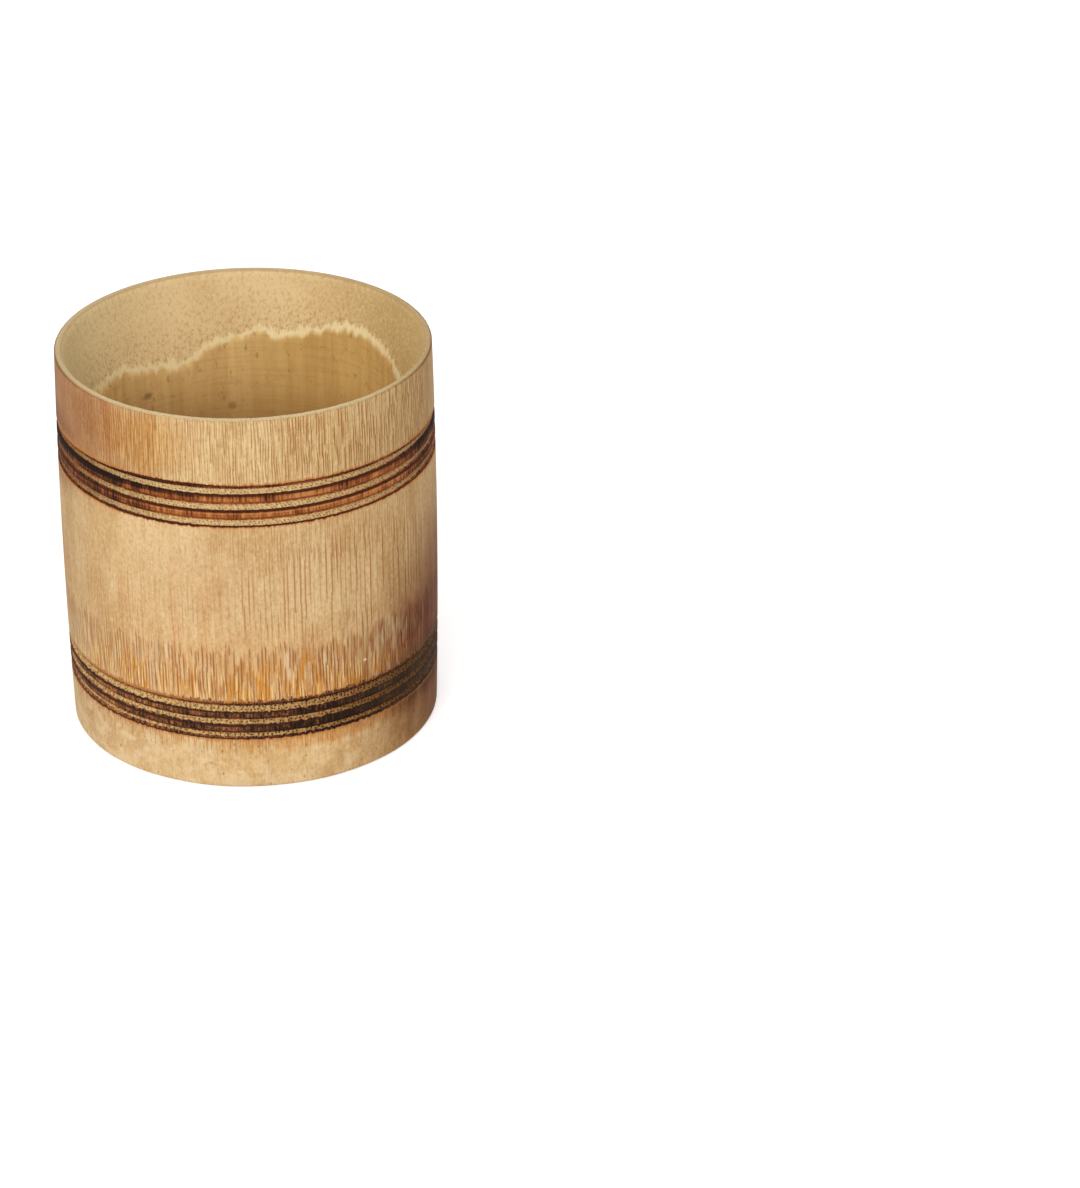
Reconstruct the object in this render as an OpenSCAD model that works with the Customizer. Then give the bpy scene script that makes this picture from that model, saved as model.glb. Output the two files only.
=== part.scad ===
// Turned bamboo cup. It is cut from one length of culm so that a natural node closes it as a floor.
// Millimetres, +Z up. The origin is the middle of the ring that the cup stands on.

/* [Body] */
// Height from the foot to the lip
body_h = 82; // [60:1:110]
// Outside diameter at the lip and at the foot
rim_d = 76; // [64:1:100]
// How far the wall swells out at mid height, on the radius
belly_rise = 0.56; // [0:0.02:2]
// Thickness of the fibrous wall at the foot
wall_t = 6.6; // [4:0.2:10]
// Radius that rounds the foot's outer edge
foot_round = 0.8; // [0.3:0.1:2]
// Bevel on the foot's inner edge
foot_bevel = 0.7; // [0.3:0.1:2]

/* [Mouth] */
// Width of the flat lip, with its eased outer edge
lip_w = 1.5; // [1:0.1:3]
// Bevel that eases the lip's outer edge
lip_ease = 0.25; // [0.1:0.05:0.6]
// Depth of the turned flare that thins the wall towards the lip
flare_depth = 22; // [12:1:30]

/* [Node floor] */
// Depth of the hollow under the cup, up to the middle of the node
recess_h = 11; // [7:0.5:16]
// Thickness of the node's disc in the middle
floor_t = 4.5; // [3:0.5:8]
// How far the disc's upper face is dished
floor_dish = 0.8; // [0:0.1:2]
// How far the disc's lower face is hollowed
under_dish = 0.6; // [0:0.1:2]
// Radius of the cove where the floor meets the wall
floor_cove = 6; // [2:0.5:9]
// Radius of the cove under the floor
under_cove = 4; // [2:0.5:5]

/* [Lining] */
// Thickness of the smooth skin that lines the culm's hollow
lining_t = 0.4; // [0.3:0.1:1]

/* [Burnt bands] */
// Drop from the lip to the middle groove of the upper band
upper_drop = 18.4; // [12:0.2:26]
// Height of the middle groove of the lower band over the foot
lower_rise = 15.5; // [10:0.5:22]
// Distance between neighbouring grooves of the upper band
upper_pitch = 3.4; // [2.5:0.1:4.5]
// Distance between neighbouring grooves of the lower band
lower_pitch = 3.15; // [2.5:0.05:4.5]
// Grooves in each band
grooves = 3; // [1:1:3]
// Height of a groove's mouth on the wall
groove_w = 1.9; // [1:0.1:2.4]
// Depth of a groove
groove_d = 0.65; // [0.3:0.05:1.2]

/* [Hidden] */
$fn = 96;

// Radii of the lip, of the wall's own bore and of the lined hollow
rim_r = rim_d / 2;
lip_r = rim_r - lip_w;
bore_r = rim_r - wall_t;
cavity_r = bore_r - lining_t;

// Power of the curve by which the flare eases into the hollow: 1 would be a straight cone
flare_power_share = 1.3;
// Share of its mouth at which a groove is deepest, from its lower edge
groove_low_share = 0.72;
// A cut runs this far past the face that it opens
overrun = 0.5;
// Straight steps that follow the swelling side, the flare, a quarter round and a dished face
side_steps = 12;
flare_steps = 10;
quarter_steps = 5;
dish_steps = 5;

// Heights of the node's disc: where its faces meet the coves, and the ledges that end the linings
floor_z = recess_h + floor_t + floor_dish;
under_z = recess_h - under_dish;
upper_ledge_z = floor_z + floor_cove;
lower_ledge_z = under_z - under_cove;

// Outside radius at a height
function side_r(z) = rim_r + belly_rise * 4 * z / body_h * (1 - z / body_h);

// Radius of the flare at a depth under the lip
function flare_r(d) = cavity_r + (lip_r - cavity_r) * pow(1 - d / flare_depth, flare_power_share);

// Depth at which the flare has come down to a radius
function flare_d(r) = flare_depth * (1 - pow((r - cavity_r) / (lip_r - cavity_r), 1 / flare_power_share));

// Points of the flare between two depths
function flare_points(d1, d2) = [
    for (i = [0 : flare_steps])
        let (d = d1 + (d2 - d1) * i / flare_steps)
        [flare_r(d), body_h - d]
];

// Points of an arc about a centre, between two angles
function arc_points(r, z, size, a1, a2) = [
    for (i = [0 : quarter_steps])
        let (a = a1 + (a2 - a1) * i / quarter_steps)
        [r + size * cos(a), z + size * sin(a)]
];

// Points up the swelling side
function side_points(z1, z2) = [
    for (i = [0 : side_steps])
        let (z = z1 + (z2 - z1) * i / side_steps)
        [side_r(z), z]
];

// Points of a face of the node's disc, from its middle out to a cove
function dish_points(r, z, rise) = [
    for (i = [0 : dish_steps])
        let (share = i / dish_steps)
        [r * share, z + rise * share * share]
];

// Section of one groove: a long flank that faces the mouth and a short one above it
module groove_section(z) {
    low = z - groove_w / 2;
    high = z + groove_w / 2;
    polygon([
        [side_r(low) + overrun, low],
        [side_r(low), low],
        [side_r(z) - groove_d, low + groove_w * groove_low_share],
        [side_r(high), high],
        [side_r(high) + overrun, high],
    ]);
}

// Sections of a band's grooves, spaced evenly about its middle
module band_sections(z, pitch) {
    for (i = [0 : grooves - 1])
        groove_section(z + (i - (grooves - 1) / 2) * pitch);
}

// Fibrous wall of the culm, from the foot to the lip, with both bands of grooves
module culm_wall() {
    color([0.85, 0.67, 0.42])
    rotate_extrude()
    difference() {
        polygon(concat(
            [[bore_r, foot_bevel], [bore_r + foot_bevel, 0]],
            arc_points(rim_r - foot_round, foot_round, foot_round, -90, -atan(foot_round / rim_r)),
            side_points(foot_round, body_h - lip_ease),
            [[rim_r - lip_ease, body_h]],
            flare_points(0, flare_d(bore_r))
        ));
        band_sections(lower_rise, lower_pitch);
        band_sections(body_h - upper_drop, upper_pitch);
    }
}

// Smooth skin of the hollow above the node, cut to a feather edge by the flare
module cavity_lining() {
    color([0.80, 0.67, 0.40])
    rotate_extrude()
    polygon(concat(
        [[cavity_r, upper_ledge_z], [bore_r, upper_ledge_z]],
        flare_points(flare_d(bore_r), flare_depth)
    ));
}

// Natural partition of the culm at the node: the cup's floor
module node_diaphragm() {
    color([0.74, 0.58, 0.34])
    rotate_extrude()
    difference() {
        polygon(concat(
            dish_points(cavity_r - under_cove, recess_h, -under_dish),
            arc_points(cavity_r - under_cove, lower_ledge_z, under_cove, 90, 0),
            [[bore_r, lower_ledge_z], [bore_r, upper_ledge_z]],
            arc_points(cavity_r - floor_cove, upper_ledge_z, floor_cove, 0, -90),
            [[0, floor_z]]
        ));
        polygon(concat(
            dish_points(cavity_r - floor_cove, recess_h + floor_t, floor_dish),
            [[0, floor_z]]
        ));
    }
}

// The same skin on the far side of the node, inside the foot
module foot_lining() {
    color([0.82, 0.71, 0.48])
    rotate_extrude()
    polygon([
        [bore_r, foot_bevel],
        [bore_r, lower_ledge_z],
        [cavity_r, lower_ledge_z],
        [cavity_r, foot_bevel + lining_t],
    ]);
}

culm_wall();
cavity_lining();
node_diaphragm();
foot_lining();
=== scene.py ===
"""Looks of the bamboo cup: a turned length of culm with two burnt, grooved bands, on a plain pale floor."""
import math

import bpy
import numpy as np
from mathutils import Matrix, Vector, noise


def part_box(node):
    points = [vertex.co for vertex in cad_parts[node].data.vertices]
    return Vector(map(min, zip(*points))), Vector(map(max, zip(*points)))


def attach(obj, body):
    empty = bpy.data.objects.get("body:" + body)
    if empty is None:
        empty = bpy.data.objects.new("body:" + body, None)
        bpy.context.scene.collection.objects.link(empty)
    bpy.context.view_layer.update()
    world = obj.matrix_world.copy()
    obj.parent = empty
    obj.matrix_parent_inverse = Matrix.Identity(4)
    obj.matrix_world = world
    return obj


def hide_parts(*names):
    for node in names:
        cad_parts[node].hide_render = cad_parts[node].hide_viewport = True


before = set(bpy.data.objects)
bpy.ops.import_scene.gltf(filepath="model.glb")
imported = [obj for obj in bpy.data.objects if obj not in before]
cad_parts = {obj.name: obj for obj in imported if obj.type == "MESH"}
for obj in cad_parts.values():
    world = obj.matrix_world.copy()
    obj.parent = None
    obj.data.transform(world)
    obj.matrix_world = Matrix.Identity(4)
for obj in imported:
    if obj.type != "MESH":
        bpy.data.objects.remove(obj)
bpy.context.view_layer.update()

# Units: the shape is worked out in millimetres and built in metres
MM = 0.001

# The photograph's frame, and the camera that was solved from the ellipses of the lip and the foot
PHOTO_HEIGHT_PX = 1188
FOCAL_LENGTH_PX = 4000
SENSOR_MM = 36.0
CAMERA_AT = (0.0, -0.7406, 0.41)
CAMERA_DOWN_DEG = 27.58
CAMERA_RIGHT_DEG = 4.63
NEAREST_SEEN = 0.01

# Soft square lamps: name, place in metres, width in metres, power in watts
LAMPS = [
    ("key", (-0.22, -1.05, 0.85), 0.8, 11.0),
    ("left", (-1.0, -0.1, 0.55), 0.8, 1.6),
    ("right", (1.0, 0.1, 0.6), 0.8, 1.2),
    ("top", (0.0, 0.1, 1.2), 0.9, 1.8),
    ("back", (-0.1, 1.0, 0.6), 0.9, 3.5),
]

# Light from all round, half the floor's width in metres, and its glow to the camera
WHITE = (1, 1, 1, 1)
ROOM_LIGHT = 0.38
FLOOR_REACH = 4.0
FLOOR_GLOW = 0.42

# Sizes that the frame gives, in millimetres
wall_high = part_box("culm_wall")[1] / MM
lining_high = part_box("cavity_lining")[1] / MM
node_low, node_high = (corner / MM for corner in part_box("node_diaphragm"))
foot_skin_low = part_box("foot_lining")[0] / MM
HEIGHT = wall_high.z
BORE_R = lining_high.x
LEDGE_Z = node_high.z
UNDER_LEDGE_Z = node_low.z
FOOT_BEVEL = foot_skin_low.z

# The rest of the cup's driving sizes, as in the part's source
RIM_R = 38.0
BELLY_RISE = wall_high.x - RIM_R
LINING_T = 0.4
CAVITY_R = BORE_R - LINING_T
LIP_W = 1.5
LIP_EASE = 0.25
LIP_R = RIM_R - LIP_W
FOOT_ROUND = 0.8
FLARE_DEPTH = 22.0
FLARE_POWER = 1.3
FLOOR_COVE = 6.0
UNDER_COVE = 4.0
FLOOR_DISH = 0.8
UNDER_DISH = 0.6
UPPER_BAND_Z = HEIGHT - 18.4
LOWER_BAND_Z = 15.5
UPPER_PITCH = 3.4
LOWER_PITCH = 3.15
GROOVE_W = 1.9
GROOVE_HALF = GROOVE_W / 2
GROOVE_D = 0.65
GROOVE_LOW_SHARE = 0.72

# Detail that is only in the scene: how ragged the grooves' edges are in each band, how far an edge is
# nicked, the sanded inner edge of the lip, and the spacing of plain rows up the side and off a groove
UPPER_RAGGED = 0.03
LOWER_RAGGED = 0.075
NICK = 0.07
LIP_SANDED = 0.55
SIDE_ROW_GAP = 2.0
GROOVE_MARGIN = 0.4

# Facets round the cup, the sharpest turn that is still shaded smooth, and the base of all seeds
SEGMENTS = 720
SHARP_DEG = 32
SEED = 7

# The range that most of a noise's values lie in
NOISE_RANGE = (0.3, 0.7)

# Rows in the mouth are marked with their distance over the lining's seam, and others with a number that
# lies under a bound
OUTSIDE_MOUTH = -99.0
MOUTH_BOUND = -50.0

# Places round the cup are in degrees from the front towards +X, and lengths in millimetres.
# The line where the flare runs out into the hollow: degrees, and depth under the lip. The photograph
# shows it from 108 to 248 degrees. Elsewhere it is made up.
TIDE = [
    (0, 15.4), (30, 16.4), (60, 14.8), (85, 15.6), (108, 14.0), (116, 12.3), (123, 11.2), (130, 10.2),
    (141, 10.1), (148, 11.4), (158, 13.1), (166, 14.3), (174, 13.1), (182, 14.7), (190, 15.1), (197, 17.3),
    (204, 19.5), (220, 18.1), (232, 16.0), (248, 16.5), (275, 15.2), (305, 16.8), (335, 14.9),
]

# Spots on the side: degrees, height over the foot, half the width, half the height, and how soft and how
# ragged the edge is
SPOTS = {
    # Where the long streaks and the short dashes of the fibres show
    "dashes in front": (14, 76, 42, 60, 0.18, 0.06),
    "dashes behind": (190, 76, 28, 60, 0.3, 0.1),
    "dashes under band": (30, 55, 27, 6.5, 0.4, 0.2),
    "streaks right": (31, 43, 26, 11.5, 0.24, 0.2),
    "streaks behind": (200, 45, 24, 10, 0.3, 0.2),
    "streaks left": (-34, 38, 24, 8, 0.4, 0.2),
    # Tints of the ground
    "warm": (2, 26.5, 38, 8, 0.5, 0.4),
    "rosy": (-44, 39, 32, 11, 0.5, 0.4),
    "honey": (12, 22.8, 36, 4.4, 0.6, 1.6),
    "bled": (24, 10.6, 27, 1.9, 0.6, 1.6),
    "butter": (8, 6.5, 14, 3.0, 0.6, 1.8),
    "glow": (-34, 75.5, 9, 6, 0.6, 0.7),
    # Tanned skin, stains, and painted shade
    "tan": (-78, 77, 28, 15, 0.6, 0.2),
    "painted shade right": (100, 55, 42, 60, 0.35, 0.15),
    "painted shade left": (-100, 45, 30, 60, 0.35, 0.15),
    "painted shade middle": (-6, 47, 22, 11, 0.5, 0.3),
    "painted shade foot": (72, 4, 24, 10, 0.5, 0.4),
    "haze over": (-88, UPPER_BAND_Z + 5.5, 13, 3.6, 0.8, 0.3),
    "haze under": (-88, UPPER_BAND_Z - 5.5, 13, 2.6, 0.8, 0.3),
    "stain": (88, 20, 28, 27, 0.5, 0.2),
    "smear": (60, 28, 13, 5.0, 0.6, 0.9),
    "bloom": (40, 28.5, 7, 4.0, 0.6, 1.2),
    "bruise": (38, 29.5, 12, 7, 0.6, 0.8),
    # Burning
    "charred left": (-80, UPPER_BAND_Z, 24, 12, 0.7, 0.3),
    "charred right": (84, UPPER_BAND_Z, 21, 12, 0.6, 0.3),
    "dusk": (-48, UPPER_BAND_Z, 27, 12, 0.6, 0.4),
    "dark low": (40, LOWER_BAND_Z, 19, 9, 0.6, 0.5),
    "black over": (-25, UPPER_BAND_Z + UPPER_PITCH + 1.2, 10, 1.6, 0.4, 0.3),
    "black under": (-34, UPPER_BAND_Z - UPPER_PITCH - 1.2, 11, 1.6, 0.4, 0.3),
    "smoke": (70, LOWER_BAND_Z, 24, 6.3, 0.45, 0.35),
    "soot": (54, LOWER_BAND_Z, 24, 9, 0.7, 0.6),
}

# Pale chips in the side: degrees, height, half the width, half the height, strength
CHIPS = [
    (35, 25.0, 0.55, 0.36, 0.95),
    (40, 27.9, 0.3, 0.26, 0.8),
    (31.6, 24.5, 0.26, 0.2, 0.8),
]

# Dark specks on the hollow's skin: the same, and their colour
SPECKS = [
    (-140, 59.4, 1.2, 0.8, 0.6, (96, 68, 38)),
    (-175, 53.0, 0.9, 0.9, 0.5, (104, 74, 44)),
]


def srgb(red, green, blue):
    """A colour of 0 to 255 as the linear numbers that a shader takes."""
    def linear(value):
        value = value / 255
        return value / 12.92 if value <= 0.04045 else ((value + 0.055) / 1.055) ** 2.4
    return (linear(red), linear(green), linear(blue), 1.0)


class Graph:
    """Short calls that add shader nodes to one material and join them."""

    def __init__(self, tree):
        self.tree = tree
        self.tree.nodes.clear()
        self.tear = None

    def feed(self, socket, value):
        if isinstance(value, bpy.types.NodeSocket):
            self.tree.links.new(value, socket)
        else:
            socket.default_value = value

    def node(self, kind, inputs=None, **settings):
        made = self.tree.nodes.new(kind)
        for key, value in settings.items():
            setattr(made, key, value)
        for key, value in (inputs or {}).items():
            self.feed(made.inputs[key], value)
        return made

    def math(self, operation, a, b=0.0, c=0.0):
        return self.node("ShaderNodeMath", {0: a, 1: b, 2: c}, operation=operation).outputs[0]

    def add(self, a, b):
        return self.math("ADD", a, b)

    def less(self, a, b):
        return self.math("SUBTRACT", a, b)

    def times(self, a, b):
        return self.math("MULTIPLY", a, b)

    def most(self, a, b):
        return self.math("MAXIMUM", a, b)

    def least(self, a, b):
        return self.math("MINIMUM", a, b)

    def vector(self, operation, a, b):
        return self.node("ShaderNodeVectorMath", {0: a, 1: b}, operation=operation).outputs[0]

    def split(self, vector):
        return self.node("ShaderNodeSeparateXYZ", {0: vector}).outputs[:3]

    def join(self, x, y, z):
        return self.node("ShaderNodeCombineXYZ", {0: x, 1: y, 2: z}).outputs[0]

    def ramp(self, value, low, high, start, end, **settings):
        """Goes straight from start to end while value goes from low to high."""
        inputs = {"Value": value, "From Min": low, "From Max": high, "To Min": start, "To Max": end}
        return self.node("ShaderNodeMapRange", inputs, **settings).outputs[0]

    def step(self, value, low, high, start=0.0, end=1.0):
        """Goes smoothly from start to end while value goes from low to high."""
        return self.ramp(value, low, high, start, end, interpolation_type="SMOOTHSTEP")

    def spread(self, value, start, end):
        """Goes straight from start to end over the range of most of a noise's values."""
        return self.ramp(value, *NOISE_RANGE, start, end)

    def choose(self, mask, clear, full):
        """Goes from one number to another while a mask goes from 0 to 1."""
        return self.ramp(mask, 0, 1, clear, full)

    def within(self, value, low, high, soft):
        """1 between two bounds and 0 outside them, with soft edges."""
        over = self.step(value, low - soft, low + soft)
        return self.times(over, self.step(value, high + soft, high - soft))

    def over(self, value, bound, soft):
        """1 over a bound that varies and 0 under it, with a soft edge."""
        return self.step(value, self.less(bound, soft), self.add(bound, soft))

    def mix(self, share, a, b, blend="MIX"):
        made = self.node("ShaderNodeMix", data_type="RGBA", blend_type=blend, clamp_factor=True)
        self.feed(made.inputs[0], share)
        self.feed(made.inputs[6], a)
        self.feed(made.inputs[7], b)
        return made.outputs[2]

    def tint(self, share, colour, tint):
        """A colour that is multiplied by a tint, as far as a share says."""
        return self.mix(share, colour, tint, "MULTIPLY")

    def stretched(self, place, across, along, shift):
        """Places scaled across and along the culm, moved so that patterns differ."""
        scaled = self.vector("MULTIPLY", place, (across, across, along))
        return self.vector("ADD", scaled, (shift, shift * 0.7, shift * 1.3))

    def noise(self, place, across, along, shift, detail=2.0, rough=0.5):
        """Smooth noise from 0 to 1, with so many waves to a millimetre across and along the culm."""
        inputs = {"Vector": self.stretched(place, across, along, shift), "Scale": 1.0, "Detail": detail,
                  "Roughness": rough}
        return self.node("ShaderNodeTexNoise", inputs).outputs[0]

    def attribute(self, name):
        return self.node("ShaderNodeAttribute", attribute_name=name).outputs["Fac"]

    def place(self):
        """Where a point lies on the part, in millimetres."""
        found = self.node("ShaderNodeTexCoord").outputs["Object"]
        return self.vector("MULTIPLY", found, (1 / MM, 1 / MM, 1 / MM))

    def near(self, place, degrees, z, radius, wide, high):
        """How far a point is from a spot on the cup, in units of that spot's half width and half height."""
        spot = (radius * math.sin(math.radians(degrees)), -radius * math.cos(math.radians(degrees)), z)
        away = self.vector("SUBTRACT", place, spot)
        away = self.vector("MULTIPLY", away, (1 / wide, 1 / wide, 1 / high))
        return self.node("ShaderNodeVectorMath", {0: away}, operation="LENGTH").outputs["Value"]

    def blot(self, place, name):
        """A named spot on the side that fades out at its edge and is drawn out ragged along the fibres. All
        of a material's spots share one noise, because a material with many more noises renders black."""
        degrees, z, wide, high, soft, ragged = SPOTS[name]
        away = self.near(place, degrees, z, RIM_R, wide, high)
        if self.tear is None:
            self.tear = self.less(self.noise(place, 0.35, 0.03, 33.0, 3.0, 0.6), 0.5)
        away = self.add(away, self.times(self.tear, ragged * 2))
        return self.step(away, 1 + soft, 1 - soft)


def new_material(name):
    material = bpy.data.materials.new(name)
    material.use_nodes = True
    return material, Graph(material.node_tree)


def finish_material(g, colour, rough, height, gloss=0.2):
    """Closes a wood's node tree: colour and roughness from nodes, relief in millimetres."""
    relief = g.node("ShaderNodeBump", {"Strength": 1.0, "Distance": MM, "Height": height}).outputs[0]
    inputs = {"Base Color": colour, "Roughness": rough, "Normal": relief, "Specular IOR Level": gloss}
    shader = g.node("ShaderNodeBsdfPrincipled", inputs)
    g.node("ShaderNodeOutputMaterial", {0: shader.outputs[0]})


# Camera, light and floor

def put(name, data):
    """A new object in the scene."""
    made = bpy.data.objects.new(name, data)
    bpy.context.scene.collection.objects.link(made)
    return made


def make_camera():
    data = bpy.data.cameras.new("camera")
    data.sensor_width = SENSOR_MM
    data.lens = FOCAL_LENGTH_PX / PHOTO_HEIGHT_PX * SENSOR_MM
    data.clip_start = NEAREST_SEEN
    camera = put("camera", data)
    camera.location = CAMERA_AT
    camera.rotation_euler = (math.radians(90 - CAMERA_DOWN_DEG), 0, -math.radians(CAMERA_RIGHT_DEG))
    bpy.context.scene.camera = camera


def make_lamps():
    """Square soft lamps that face the cup's middle."""
    middle = Vector((0, 0, HEIGHT * MM / 2))
    for name, place, size, watts in LAMPS:
        data = bpy.data.lights.new(name, "AREA")
        data.size = size
        data.energy = watts
        lamp = put(name, data)
        lamp.location = place
        lamp.rotation_euler = (middle - Vector(place)).to_track_quat("-Z", "Y").to_euler()


def make_world():
    """White behind the cup and in its gloss, and a plain level of light from all round."""
    world = bpy.data.worlds.new("studio")
    bpy.context.scene.world = world
    world.use_nodes = True
    g = Graph(world.node_tree)
    rays = g.node("ShaderNodeLightPath").outputs
    seen = g.most(g.most(rays["Is Camera Ray"], rays["Is Glossy Ray"]), rays["Is Transmission Ray"])
    light = g.node("ShaderNodeBackground", {0: WHITE, 1: ROOM_LIGHT}).outputs[0]
    white = g.node("ShaderNodeBackground", {0: WHITE, 1: 1.0}).outputs[0]
    both = g.node("ShaderNodeMixShader", {0: seen, 1: light, 2: white}).outputs[0]
    g.node("ShaderNodeOutputWorld", {0: both})


def make_floor():
    """A wide pale floor that shows white to the camera and keeps the cup's soft shadow."""
    far = FLOOR_REACH
    mesh = bpy.data.meshes.new("floor")
    mesh.from_pydata([(-far, -far, 0), (far, -far, 0), (far, far, 0), (-far, far, 0)], [], [(0, 1, 2, 3)])
    floor = put("floor", mesh)
    material, g = new_material("floor")
    paint = g.node("ShaderNodeBsdfDiffuse", {0: srgb(236, 236, 236)}).outputs[0]
    glow = g.node("ShaderNodeEmission", {0: WHITE, 1: FLOOR_GLOW}).outputs[0]
    lifted = g.node("ShaderNodeAddShader", {0: paint, 1: glow}).outputs[0]
    seen = g.node("ShaderNodeLightPath").outputs["Is Camera Ray"]
    shader = g.node("ShaderNodeMixShader", {0: seen, 1: paint, 2: lifted}).outputs[0]
    g.node("ShaderNodeOutputMaterial", {0: shader})
    mesh.materials.append(material)


# Shape

AROUND = np.linspace(0, 2 * math.pi, SEGMENTS, endpoint=False)


def ring_noise(seed, slowest, fastest, size):
    """A wavy line round the cup that closes on itself, made of so many to so many waves."""
    rng = np.random.default_rng(SEED + seed)
    waves = np.arange(slowest, fastest + 1)
    heights = rng.normal(size=waves.size) / np.sqrt(waves)
    phases = rng.uniform(0, 2 * math.pi, waves.size)
    line = (heights[:, None] * np.sin(waves[:, None] * AROUND[None] + phases[:, None])).sum(0)
    return size * line / line.std()


def tide_line():
    """Depth of the tide line under the lip, all round the cup."""
    places, depths = zip(*TIDE)
    line = np.interp(np.degrees(AROUND), places, depths, period=360)
    reach = np.arange(-9, 10)
    weights = np.exp(-(reach / 4.0) ** 2)
    smooth = sum(w * np.roll(line, k) for k, w in zip(reach, weights)) / weights.sum()
    return smooth + ring_noise(1, 40, 110, 0.16)


def side_r(z):
    """Radius of the swelling side at a height."""
    return RIM_R + BELLY_RISE * 4 * z / HEIGHT * (1 - z / HEIGHT)


def flare_r(depth):
    """Radius of the flare at a depth under the lip."""
    share = np.clip(1 - depth / FLARE_DEPTH, 0, 1)
    return CAVITY_R + (LIP_R - CAVITY_R) * share ** FLARE_POWER


def flare_d(radius):
    """Depth under the lip at which the flare has a radius."""
    share = np.clip((radius - CAVITY_R) / (LIP_R - CAVITY_R), 0, 1)
    return FLARE_DEPTH * (1 - share ** (1 / FLARE_POWER))


# The lining's cut edge in the flare: it starts at the seam with the wall and ends at the tide line
TIDE_D = tide_line()
HOLLOW_EXTRA = flare_r(TIDE_D) - CAVITY_R
SEAM_R = flare_r(TIDE_D) + LINING_T
SEAM_D = flare_d(SEAM_R)


def hollow_r(z):
    """Radius of the natural hollow: uneven where the flare meets it, and true where it meets the floor."""
    share = np.clip((z - LEDGE_Z) / (HEIGHT - TIDE_D - LEDGE_Z), 0, 1)
    eased = share * share * (3 - 2 * share)
    return CAVITY_R + HOLLOW_EXTRA * eased


def strip(low, high):
    """The faces between two rows of points."""
    here = np.arange(SEGMENTS)
    after = (here + 1) % SEGMENTS
    a, b = low * SEGMENTS, high * SEGMENTS
    return np.stack([a + here, a + after, b + after, b + here], -1).tolist()


def fan(row, tip, upward):
    """The faces between a row of points and a point at its middle."""
    here = row * SEGMENTS + np.arange(SEGMENTS)
    after = row * SEGMENTS + (np.arange(SEGMENTS) + 1) % SEGMENTS
    first, second = (here, after) if upward else (after, here)
    return np.stack([first, second, np.full(SEGMENTS, tip)], -1).tolist()


def make_smooth(name, points, faces, marks, material):
    """An object with its marks, shaded smooth except at its sharp turns."""
    mesh = bpy.data.meshes.new(name)
    mesh.from_pydata(points.tolist(), [], faces)
    mesh.update()
    for key, values in marks.items():
        mark = mesh.attributes.new(key, "FLOAT", "POINT")
        mark.data.foreach_set("value", values.astype(np.float32))
    mesh.shade_smooth()
    mesh.set_sharp_from_angle(angle=math.radians(SHARP_DEG))
    mesh.materials.append(material)
    return put(name, mesh)


class Lathe:
    """A turned form, as rows of points round the cup. Each row has two marks that the materials read: its
    height before it was made ragged, and how far over the seam of flare and lining it lies."""

    def __init__(self):
        self.rows = []

    def row(self, radius, z, level=None, tide=OUTSIDE_MOUTH):
        """Adds a row. Each value is one number, or one for each point round the cup."""
        whole = np.ones(SEGMENTS)
        level = z if level is None else level
        self.rows.append((radius * whole, z * whole, level * whole, tide * whole))

    def piece(self, name, material, capped=False):
        """Makes the object. Its last row joins its first, or else a cap closes each of the two."""
        radius, z, level, tide = (np.array(part) for part in zip(*self.rows))
        x = radius * np.sin(AROUND)
        y = -radius * np.cos(AROUND)
        points = np.stack([x, y, z], -1).reshape(-1, 3) * MM
        marks = {"level": level.ravel(), "tide": tide.ravel()}
        last = len(self.rows) - 1
        faces = []
        for low in range(last):
            faces += strip(low, low + 1)
        if not capped:
            faces += strip(last, 0)
            return make_smooth(name, points, faces, marks, material)
        for row, upward in ((0, False), (last, True)):
            faces += fan(row, len(points), upward)
            points = np.vstack([points, [0, 0, z[row].mean() * MM]])
            for key in marks:
                marks[key] = np.append(marks[key], marks[key][row * SEGMENTS])
        return make_smooth(name, points, faces, marks, material)


def groove_rows(lathe, band_z, pitch, index, ragged):
    """The rows of one groove: its long flank faces the mouth and the short one above it faces down."""
    centre = band_z + index * pitch
    low = centre - GROOVE_HALF
    high = centre + GROOVE_HALF
    seed = int(band_z * 10) + index * 3
    low_edge = ring_noise(seed, 60, 220, ragged)
    high_edge = ring_noise(seed + 1, 60, 200, ragged * 0.5)
    deep_z = low + GROOVE_W * GROOVE_LOW_SHARE
    lathe.row(side_r(low), low - NICK * 2 + low_edge, low - NICK * 2)
    lathe.row(side_r(low) - NICK * 0.3, low + low_edge, low)
    for share in (0.15, 0.35, 0.6, 0.85):
        level = low + (deep_z - low) * share
        depth = GROOVE_D * share + ring_noise(seed + 2, 90, 240, 0.012)
        lathe.row(side_r(level) - depth, level + low_edge * (1 - share), level)
    lathe.row(side_r(centre) - GROOVE_D, deep_z, deep_z)
    middle = (deep_z + high) / 2
    lathe.row(side_r(centre) - GROOVE_D * 0.55, middle + high_edge * 0.5, middle)
    lathe.row(side_r(high) - NICK * 0.3, high + high_edge, high)
    lathe.row(side_r(high), high + NICK * 2 + high_edge, high + NICK * 2)


def band_rows(lathe, band_z, pitch, ragged):
    """The three grooves of a band, and a plain row on each ridge between them."""
    for index in (-1, 0, 1):
        groove_rows(lathe, band_z, pitch, index, ragged)
        if index < 1:
            middle = band_z + (index + 0.5) * pitch
            lathe.row(side_r(middle), middle)


def side_rows(lathe, start, end):
    """Plain rows up the swelling side, evenly spaced, without the two ends."""
    count = max(2, round((end - start) / SIDE_ROW_GAP))
    for i in range(1, count):
        z = start + (end - start) * i / count
        lathe.row(side_r(z), z)


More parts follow.
